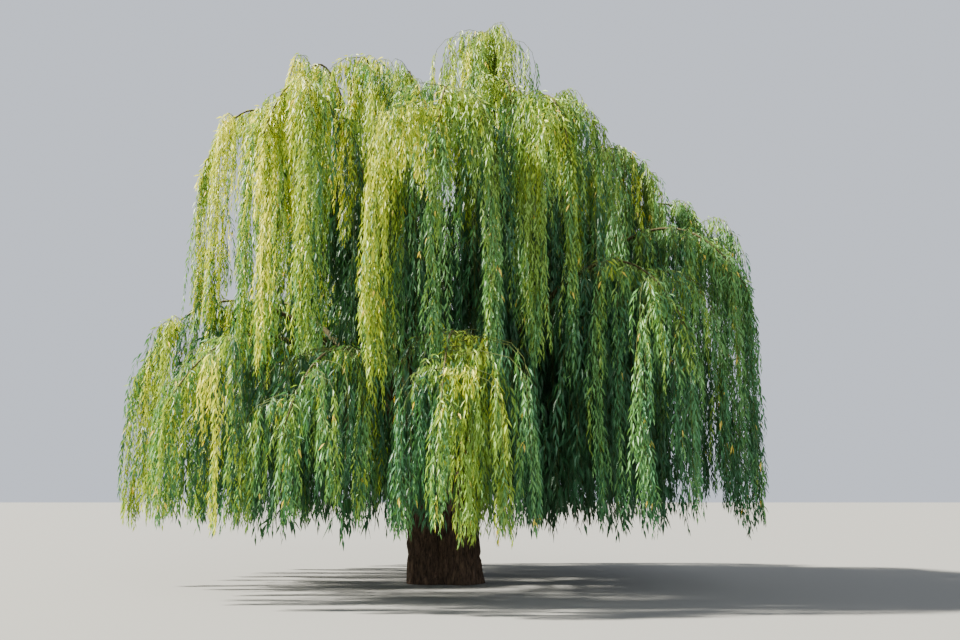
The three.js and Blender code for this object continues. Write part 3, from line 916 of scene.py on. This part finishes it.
def shoots_on_line(bough, kind, line, random):
    """The shoots of one line: where each starts, which way it leaves, and how it hangs, as arrays."""
    values = dict(zip(SHOOT_VALUES, SHOOTS[kind]))
    length = line_length(line)
    count = max(2, round(length / values["pitch"]))
    marks = (np.arange(count) + random.uniform(0.1, 0.9, count)) / count
    if kind in ("hanging", "middle", "inner"):
        marks = marks**CROWDING
    root = along_line(line, marks * length)

    turn = random.uniform(0, 360) + GOLDEN_ANGLE * np.arange(count)
    turn = np.radians(turn + random.uniform(-TURN_SPREAD, TURN_SPREAD, count))
    way = np.stack([np.cos(turn), np.sin(turn), 0 * turn], 1)
    outwards = unit(root * np.array([1, 1, 0]))
    way = unit(way + OUTWARDS * outwards + ONWARDS * polar(1, bough["angle"]))

    hem = bough["hem"] if kind in ("stem", "cover") else line[-1, 2]
    room = root[:, 2] - hem - random.uniform(*HEM_ROOM, count)
    shoot = random.uniform(*values["length"], count)
    if kind != "cover":
        shoot = np.where(room < FITTED_WITHIN * shoot, room, shoot)
    keep = shoot > SHORTEST_SHOOT
    widest = TASSEL_TAPER[0] - TASSEL_TAPER[1] * marks if kind == "hanging" else np.ones(count)
    spread = random.uniform(*values["spread"], count) * widest
    spread = (spread * np.clip(shoot / FULL_LENGTH, LEAST_SPREAD, 1))[keep]
    rise = values["rise"] * (SUMMIT_SPREAD["rise"] if bough["tier"] is SUMMIT else 1)

    # A line's green differs at random from the next line's, is lighter as painted sunlight on the sunny
    # plumes, and is darker as painted shade on the rest of the sunny mass and on middle and inner shoots
    end = line[-1, 0]
    tone_and_painted_light = random.normal(0, TONE_SPREAD_RIGHT if end > TONE_RIGHT_FROM else TONE_SPREAD)
    if bough["sunny"] and SUNNY["sides"][0] < end < SUNNY["sides"][1]:
        tone_and_painted_light += SUNNY["tone_and_painted_light"]
    else:
        tone_and_painted_light += values["tone_and_painted_light"] + (SUNNY["shade"] if bough["sunny"] else 0)
    return {
        "root": root[keep],
        "way": way[keep],
        "length": shoot[keep],
        "spread": spread,
        "rise": rise * spread,
        "leaf": np.full(keep.sum(), values["leaf"]),
        "tone_and_painted_light": tone_and_painted_light + random.normal(0, SHOOT_TONE_SPREAD, keep.sum()),
    }


def stacked(rows):
    """Several dictionaries of arrays as one."""
    return {name: np.concatenate([row[name] for row in rows]) for name in rows[0]}


def make_shoots(boughs, random):
    """All shoots of the crown as arrays, with the number of the bough each belongs to."""
    masses = []
    for index, bough in enumerate(boughs):
        bough["lines"] = strand_lines(bough)
        shoots = stacked([shoots_on_line(bough, kind, line, random) for kind, line in bough["lines"]])
        count = len(shoots["length"])
        shoots["lean"] = random.normal(0, LEAN, (count, 3)) * np.array([1, 1, 0])
        shoots["bough"] = np.full(count, index)
        masses.append(shoots)
    return stacked(masses)


def shoot_at(shoots, which, t):
    """The points of shoots at shares of their lengths, in millimetres."""
    out = 1 - np.exp(-SHOOT_BOW * t)
    rise = np.sin(math.pi * np.minimum(1, t * SHOOT_RISE)) * (t < 1 / SHOOT_RISE)
    fall = shoots["length"][which] * t**SHOOT_FALL
    return (
        shoots["root"][which]
        + shoots["way"][which] * (shoots["spread"][which] * out)[..., None]
        + shoots["lean"][which] * (shoots["length"][which] * t**SHOOT_LEAN)[..., None]
        + UP * (shoots["rise"][which] * rise - fall)[..., None]
    )


# Leaves


def green_places(points, tones_and_painted_light):
    """Which green each spray has, as painted light and shade: from 0, painted shade in the deep right and
    middle, to the last, painted sunlight in the upper left.
    """
    x, y, z = (points / np.array(PAINTED_LIGHT_PALETTE["span"])).T
    side = -PAINTED_LIGHT_PALETTE["to_left"] * x - PAINTED_LIGHT_PALETTE["to_front"] * y
    score = PAINTED_LIGHT_PALETTE["level"] + PAINTED_LIGHT_PALETTE["side"] * side
    for place, (weight, middle) in ((z, PAINTED_LIGHT_PALETTE["height"]), (np.hypot(x, y), PAINTED_LIGHT_PALETTE["radius"])):
        score = score + weight * (place - middle)
    place = np.clip(score + tones_and_painted_light, 0, 1)
    return np.minimum((place * GREENS).astype(int), GREENS - 1)


def leaf_ways(shoots, which, number, t, root, random):
    """The way each leaf points, the way across its blade and the way that its blade faces."""
    total = len(which)
    onwards = unit(shoot_at(shoots, which, np.minimum(t + 0.02, 1.02)) - root)
    turn = GOLDEN_ANGLE * number + random.uniform(0, 360, len(shoots["length"]))[which]
    turn = np.radians(turn) + random.normal(0, LEAF["turn"], total)
    flat = np.stack([np.cos(turn), np.sin(turn), 0 * turn], 1)
    lean = np.radians(random.uniform(*LEAF["lean"], total) * (1 - LEAF["straighter"] * t))
    way = onwards * np.cos(lean)[:, None] + flat * np.sin(lean)[:, None] - LEAF["droop"] * UP
    way = unit(way)
    across = unit(np.cross(way, flat) + 1e-6)
    face = np.cross(across, way)
    roll = random.normal(0, LEAF["roll"], total)[:, None]
    across, face = (
        across * np.cos(roll) + face * np.sin(roll),
        face * np.cos(roll) - across * np.sin(roll),
    )
    return way, across, face


def make_leaves(shoots, random):
    """All leaves: the shoot and the share along it where each stands, and its four corners in metres."""
    pitches = shoots["length"] / LEAF["pitch"] / shoots["leaf"] ** LEAF["sparser"]
    counts = np.maximum(LEAF["fewest"], pitches.astype(int))
    which = np.repeat(np.arange(len(counts)), counts)
    number = np.arange(len(which)) - np.repeat(np.cumsum(counts) - counts, counts)
    t = LEAF["first"] + (1 - LEAF["first"]) * (number + 0.5) / counts[which]
    root = shoot_at(shoots, which, t)
    way, across, face = leaf_ways(shoots, which, number, t, root, random)
    length = random.uniform(*LEAF["length"], len(which)) * (1 - LEAF["shorter"] * t**3)
    length = length * np.clip(LEAF["young"][0] + LEAF["young"][1] * t, 0, 1)
    length = (length * shoots["leaf"][which])[:, None]
    width = length * LEAF["width"] * random.uniform(*LEAF["widths"], len(which))[:, None]
    middle = root + way * (LEAF["widest"] * length)
    fold = face * (LEAF["fold"] * width)
    corners = np.empty((len(which), 4, 3))
    corners[:, 0] = root
    corners[:, 1] = middle + across * (width / 2) + fold
    corners[:, 2] = root + way * length - UP * (LEAF["sag"] * length)
    corners[:, 3] = middle - across * (width / 2) + fold
    return which, t, corners / 1000


# Materials


def linear(colour):
    """A display colour, from 0 to 255, as Blender's linear one."""
    return tuple(((c / 255 + 0.055) / 1.055) ** 2.4 if c > 10 else c / 255 / 12.92 for c in colour)


def new_material(name, colour, roughness, specular):
    material = bpy.data.materials.new(name)
    material.use_nodes = True
    shader = material.node_tree.nodes["Principled BSDF"]
    shader.inputs["Base Color"].default_value = (*linear(colour), 1)
    shader.inputs["Roughness"].default_value = roughness
    shader.inputs["Specular IOR Level"].default_value = specular
    return material, material.node_tree.nodes, material.node_tree.links, shader


def leaf_material(name, colour):
    """A plain green that lets some light through, warmer than the green itself."""
    roughness, specular = LEAF_SHEEN["roughness"], LEAF_SHEEN["specular"]
    material, nodes, links, shader = new_material(f"leaf_{name}", colour, roughness, specular)
    through = nodes.new("ShaderNodeBsdfTranslucent")
    warm = (min(255, colour[0] * 1.25 + 12), min(255, colour[1] * 1.2 + 10), colour[2] * 0.8)
    through.inputs["Color"].default_value = (*linear(warm), 1)
    blend = nodes.new("ShaderNodeMixShader")
    blend.inputs["Fac"].default_value = LEAF_SHEEN["through"]
    links.new(shader.outputs[0], blend.inputs[1])
    links.new(through.outputs[0], blend.inputs[2])
    links.new(blend.outputs[0], nodes["Material Output"].inputs["Surface"])
    return material


def colour_ramp(nodes, stops):
    """A ramp through two or more colours, each at its own position."""
    ramp = nodes.new("ShaderNodeValToRGB")
    elements = ramp.color_ramp.elements
    for element, (position, colour) in zip(elements, (stops[0], stops[-1])):
        element.position = position
        element.color = (*linear(colour), 1)
    for position, colour in stops[1:-1]:
        elements.new(position).color = (*linear(colour), 1)
    return ramp


def bark_material(name, colours, scale, stretch, bump):
    """Bark with long furrows: darker in them as painted shade and paler on the ridges, with finer cracks as a
    bump.
    """
    dark, middle, light = colours
    material, nodes, links, shader = new_material(name, middle, 0.92, 0.2)
    place = nodes.new("ShaderNodeTexCoord")
    size = nodes.new("ShaderNodeMapping")
    size.inputs["Scale"].default_value = (scale, scale, scale / stretch)
    links.new(place.outputs["Object"], size.inputs["Vector"])
    plates = nodes.new("ShaderNodeTexVoronoi")
    plates.feature = "DISTANCE_TO_EDGE"
    plates.inputs["Scale"].default_value = 1.0
    links.new(size.outputs["Vector"], plates.inputs["Vector"])
    grain = nodes.new("ShaderNodeTexNoise")
    grain.inputs["Scale"].default_value = 3.2
    grain.inputs["Detail"].default_value = 6
    grain.inputs["Roughness"].default_value = 0.65
    links.new(size.outputs["Vector"], grain.inputs["Vector"])

    # Painted shade: darker at the edges of the plates, in the furrows
    by_plate = colour_ramp(nodes, [(0.02, dark), (0.2, middle), (0.55, light)])
    links.new(plates.outputs["Distance"], by_plate.inputs["Fac"])
    by_grain = colour_ramp(nodes, [(0.3, dark), (0.72, light)])
    links.new(grain.outputs["Fac"], by_grain.inputs["Fac"])
    colour = nodes.new("ShaderNodeMix")
    colour.data_type = "RGBA"
    colour.inputs["Factor"].default_value = 0.5
    links.new(by_plate.outputs["Color"], colour.inputs["A"])
    links.new(by_grain.outputs["Color"], colour.inputs["B"])
    links.new(colour.outputs["Result"], shader.inputs["Base Color"])

    height = nodes.new("ShaderNodeMath")
    height.operation = "ADD"
    links.new(plates.outputs["Distance"], height.inputs[0])
    links.new(grain.outputs["Fac"], height.inputs[1])
    relief = nodes.new("ShaderNodeBump")
    relief.inputs["Strength"].default_value = 0.7
    relief.inputs["Distance"].default_value = bump
    links.new(height.outputs["Value"], relief.inputs["Height"])
    links.new(relief.outputs["Normal"], shader.inputs["Normal"])
    return material


def make_materials():
    materials = {name: bark_material(name, *values) for name, values in BARKS.items()}
    for name, colour in LEAF_COLOURS:
        materials[name] = leaf_material(name, colour)
    return materials


# Foliage


def make_leaf_pieces(boughs, shoots, materials, random):
    """The leaves of neighbouring masses as one piece, each leaf in the green of its shoot or in yellow."""
    count = len(shoots["length"])
    middles = shoot_at(shoots, np.arange(count), np.full(count, 0.5))
    greens = green_places(middles, shoots["tone_and_painted_light"])
    which, share, corners = make_leaves(shoots, random)
    start = random.uniform(0, YELLOW["one_in"], count)
    yellow = abs(share - start[which]) < YELLOW["run"]
    yellow &= shoots["leaf"][which] < YELLOW["leaf"]
    colours = np.where(yellow, GREENS, greens[which])
    leaf_materials = [materials[name] for name, _ in LEAF_COLOURS]

    groups = {}
    for index, bough in enumerate(boughs):
        name, parts = extras_of(bough)["group"]
        number = (bough["number"] - 1) * parts // bough["tier"]["count"] + 1
        groups.setdefault(f"{name}_{number}", []).append(index)
    for name, members in groups.items():
        mine = np.isin(shoots["bough"][which], members)
        vertices = corners[mine].reshape(-1, 3)
        first = np.arange(0, len(vertices), 4)[:, None]
        triangles = np.stack([first + [0, 1, 2], first + [0, 2, 3]], 1).reshape(-1, 3)
        indices = np.repeat(colours[mine], 2)
        piece = new_piece(f"{name}_leaves", vertices, triangles, leaf_materials, indices, False)
        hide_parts(*[f"{boughs[i]['tier']['foliage']}_{boughs[i]['number']}" for i in members])


def make_shoot_pieces(shoots, materials):
    """The wood of all shoots, in two pieces."""
    every = np.arange(len(shoots["length"]))
    paths = [shoot_at(shoots, every, np.full(len(every), share)) for share in SHOOT_STEPS]
    paths = np.stack(paths, 1) / 1000
    size = np.clip(shoots["length"] / 1000, *SHOOT_SIZES)[:, None]
    radii = np.array(SHOOT_RADII) * size / 1000
    half = len(every) // 2
    for number, part in enumerate((every[:half], every[half:])):
        vertices, triangles = withes(paths[part], radii[part])
        piece = new_piece(f"shoots_{number + 1}", vertices, triangles, [materials["twig_bark"]])


def make_twig_pieces(boughs, materials):
    """The stems of all masses as one piece, and their tassels as another."""
    stems, twigs = [], []
    for bough in boughs:
        for kind, line in bough["lines"]:
            line = line[None] / 1000
            shares = np.linspace(0, 1, LINE_POINTS)[None]
            if kind == "stem":
                radii = mix(bough["tier"]["radius"][1], STEM_TIP, shares**0.5)
                stems.append(tubes(line, radii / 1000, 8))
            elif kind not in ("cover", "hem"):
                radii = mix(*TWIG_RADII, shares**0.6)
                twigs.append(tubes(line[:, ::2], radii[:, ::2] / 1000, 3))
    for name, parts, material in (("stems", stems, "young_bark"), ("twigs", twigs, "twig_bark")):
        vertices, triangles = joined(parts)
        piece = new_piece(name, vertices, triangles, [materials[material]])


# Camera, light and floor


def make_stage():
    camera = bpy.data.objects.new("camera", bpy.data.cameras.new("camera"))
    camera.data.sensor_width = CAMERA["sensor"]
    camera.data.lens = CAMERA["lens"]
    camera.data.clip_end = CAMERA["reach"]
    camera.location = CAMERA["place"]
    camera.rotation_euler = (math.radians(CAMERA["pitch"]), 0, 0)
    bpy.context.scene.collection.objects.link(camera)
    bpy.context.scene.camera = camera

    half = FLOOR["half"]
    corners = [(-half, -half, 0), (half, -half, 0), (half, half, 0), (-half, half, 0)]
    mesh = bpy.data.meshes.new("floor")
    mesh.from_pydata(corners, [], [(0, 1, 2, 3)])
    floor = bpy.data.objects.new("floor", mesh)
    bpy.context.scene.collection.objects.link(floor)
    material = new_material("floor", FLOOR["colour"], FLOOR["roughness"], FLOOR["specular"])[0]
    mesh.materials.append(material)

    world = bpy.data.worlds.new("studio")
    world.use_nodes = True
    world.node_tree.nodes["Background"].inputs["Color"].default_value = SKY["colour"]
    world.node_tree.nodes["Background"].inputs["Strength"].default_value = SKY["strength"]
    bpy.context.scene.world = world

    for values in LIGHTS:
        light = bpy.data.objects.new(values["name"], bpy.data.lights.new(values["name"], "SUN"))
        light.data.energy = values["strength"]
        light.data.angle = math.radians(values["angle"])
        light.data.color = values["colour"]
        light.rotation_euler = Vector(values["place"]).to_track_quat("Z", "Y").to_euler()
        bpy.context.scene.collection.objects.link(light)


def main():
    make_stage()
    materials = make_materials()
    random = np.random.default_rng(SEED)
    boughs = plan_boughs()
    limbs = limb_places(boughs)
    plan_tassels(boughs, limbs)
    add_tassels(boughs, limbs, random)
    make_trunk(boughs, materials)
    make_boughs(boughs, materials)
    shoots = make_shoots(boughs, random)
    make_leaf_pieces(boughs, shoots, materials, random)
    make_shoot_pieces(shoots, materials)
    make_twig_pieces(boughs, materials)


main()
